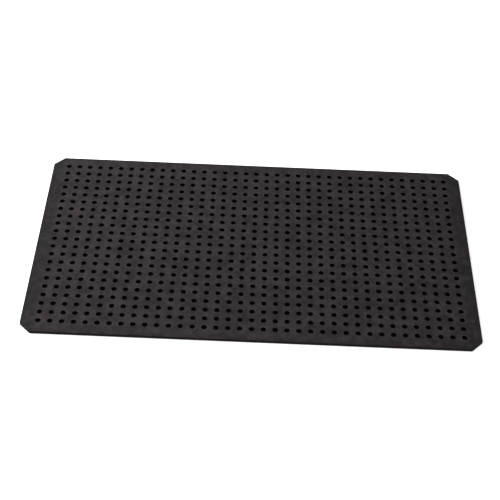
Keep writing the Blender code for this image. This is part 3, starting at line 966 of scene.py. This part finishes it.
def make_thermal_cutout():
    """The moulded cut-out, with a flat tab at each end."""
    low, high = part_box("thermal_cutout")
    case_rounding, tab_rounding = 0.00045, 0.00008
    tab = Vector((TAB_LENGTH, 0.0, 0.0))
    body = box_mesh(low + tab, high - tab, case_rounding)
    tabs = box_mesh(
        Vector((low.x, JUNCTION_Y - TAB_HALF_WIDTH, JUNCTION_Z - TAB_HALF_THICKNESS)),
        Vector((high.x, JUNCTION_Y + TAB_HALF_WIDTH, JUNCTION_Z + TAB_HALF_THICKNESS)),
        tab_rounding)
    mesh = combined(body, tabs, "UNION")
    middle_x, case_half = (low.x + high.x) / 2, (high.x - low.x) / 2 - TAB_LENGTH
    for face in mesh.faces:
        if abs(face.calc_center_median().x - middle_x) > case_half:
            face.material_index = 1
    finish_piece("thermal_cutout", mesh,
                 plastic("resin_case", (0.22, 0.045, 0.020), (0.34, 0.080, 0.035),
                         0.35, 0.0007, 0.00002, patch=0.003, specular=0.5),
                 metal("tinned_tab", (0.50, 0.48, 0.45), (0.74, 0.72, 0.69), 0.32))


# ---- the carried-over pieces ----

def give(node, material):
    """Gives a CAD node its finished material."""
    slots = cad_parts[node].data.materials
    slots.clear()
    slots.append(material)


def finish_carried_pieces():
    """Materials for the two plain foils, which keep their CAD shape."""
    give("reflective_film", foil("metallised_film", (0.62, 0.63, 0.66), (0.80, 0.81, 0.83),
                                 0.22, 0.012, 0.00015))
    give("heat_spreader", foil("rolled_aluminium", (0.66, 0.67, 0.68), (0.82, 0.83, 0.84),
                               0.34, 0.03, 0.00005, stretch=(0.05, 1, 1)))


# ---- floor, light and camera ----

FLOOR_HALF_SIZE = 60.0
FLOOR_GLOW_NEAR = 0.5
FLOOR_GLOW_FAR = 1.0
GLOW_START = 0.6                          # how far from the mat the glow starts to rise
GLOW_END = 2.5
WORLD_STRENGTH = 0.15
BACKDROP_STRENGTH = 1.1
CAMERA_LENS = 86.135                      # millimetres
CAMERA_SENSOR = 36.0
CAMERA_LOCATION = (-0.01180, -0.98469, 0.95754)
CAMERA_TURN = (45.718, -1.917, 1.450)     # degrees about x, y and z


def make_floor():
    """A plain pale studio floor. Its glow hides the mat's shadow and meets the backdrop."""
    data = bpy.data.meshes.new("studio_floor")
    mesh = bmesh.new()
    bmesh.ops.create_grid(mesh, x_segments=1, y_segments=1, size=FLOOR_HALF_SIZE)
    mesh.to_mesh(data)
    mesh.free()
    floor = bpy.data.objects.new("studio_floor", data)
    bpy.context.scene.collection.objects.link(floor)
    material, tree, shader = new_material("pale_floor")
    tone = noise(tree, object_point(tree), 0.4, detail=2.0)
    put(tree, shader.inputs["Base Color"],
        blend_colours(tree, tone, (0.90, 0.90, 0.90), (0.93, 0.93, 0.93)))
    shader.inputs["Roughness"].default_value = 0.9
    shader.inputs["Specular IOR Level"].default_value = 0.1
    shader.inputs["Emission Color"].default_value = (1.0, 1.0, 1.0, 1.0)
    away = add(tree, "ShaderNodeVectorMath", {0: object_point(tree)}, operation="LENGTH")
    put(tree, shader.inputs["Emission Strength"],
        remap(tree, away.outputs["Value"], GLOW_START, GLOW_END, FLOOR_GLOW_NEAR, FLOOR_GLOW_FAR))
    data.materials.append(material)


def make_world():
    """Even white light all round. The camera sees the backdrop brighter than it shines."""
    world = bpy.data.worlds.new("studio")
    world.use_nodes = True
    tree = world.node_tree
    seen = add(tree, "ShaderNodeLightPath").outputs["Is Camera Ray"]
    background = tree.nodes["Background"]
    background.inputs["Color"].default_value = (1.0, 1.0, 1.0, 1.0)
    put(tree, background.inputs["Strength"],
        remap(tree, seen, 0.0, 1.0, WORLD_STRENGTH, BACKDROP_STRENGTH))
    bpy.context.scene.world = world


def make_area_light(name, location, target, size, power):
    """A rectangular soft light that faces its target. The power is in watts."""
    data = bpy.data.lights.new(name, "AREA")
    data.shape = "RECTANGLE"
    data.size, data.size_y = size
    data.energy = power
    light = bpy.data.objects.new(name, data)
    light.location = location
    light.rotation_euler = (Vector(target) - Vector(location)).to_track_quat("-Z", "Y").to_euler()
    bpy.context.scene.collection.objects.link(light)


def make_camera():
    """In front of the mat and above it, looking down at about 44 degrees."""
    data = bpy.data.cameras.new("camera")
    data.sensor_width = CAMERA_SENSOR
    data.lens = CAMERA_LENS
    camera = bpy.data.objects.new("camera", data)
    camera.location = CAMERA_LOCATION
    camera.rotation_euler = [math.radians(angle) for angle in CAMERA_TURN]
    bpy.context.scene.collection.objects.link(camera)
    bpy.context.scene.camera = camera


make_camera()
make_floor()
make_world()
make_area_light("top_softbox", location=(0.1, -0.8, 1.8), target=(0, 0, 0),
                size=(2.4, 1.4), power=20.0)
make_area_light("left_panel", location=(-1.15, 0.4, 0.9), target=(-0.1, 0, 0),
                size=(1.2, 1.2), power=40.5)
bpy.context.scene.view_settings.view_transform = "Standard"
make_cover()
make_bottom_cover()
make_edge_seal()
make_rating_plate()
make_insulation_pad()
make_heating_cable()
make_fixing_tapes()
make_inlet_housing()
make_inlet_contacts()
make_leads()
make_splices()
make_thermal_cutout()
finish_carried_pieces()
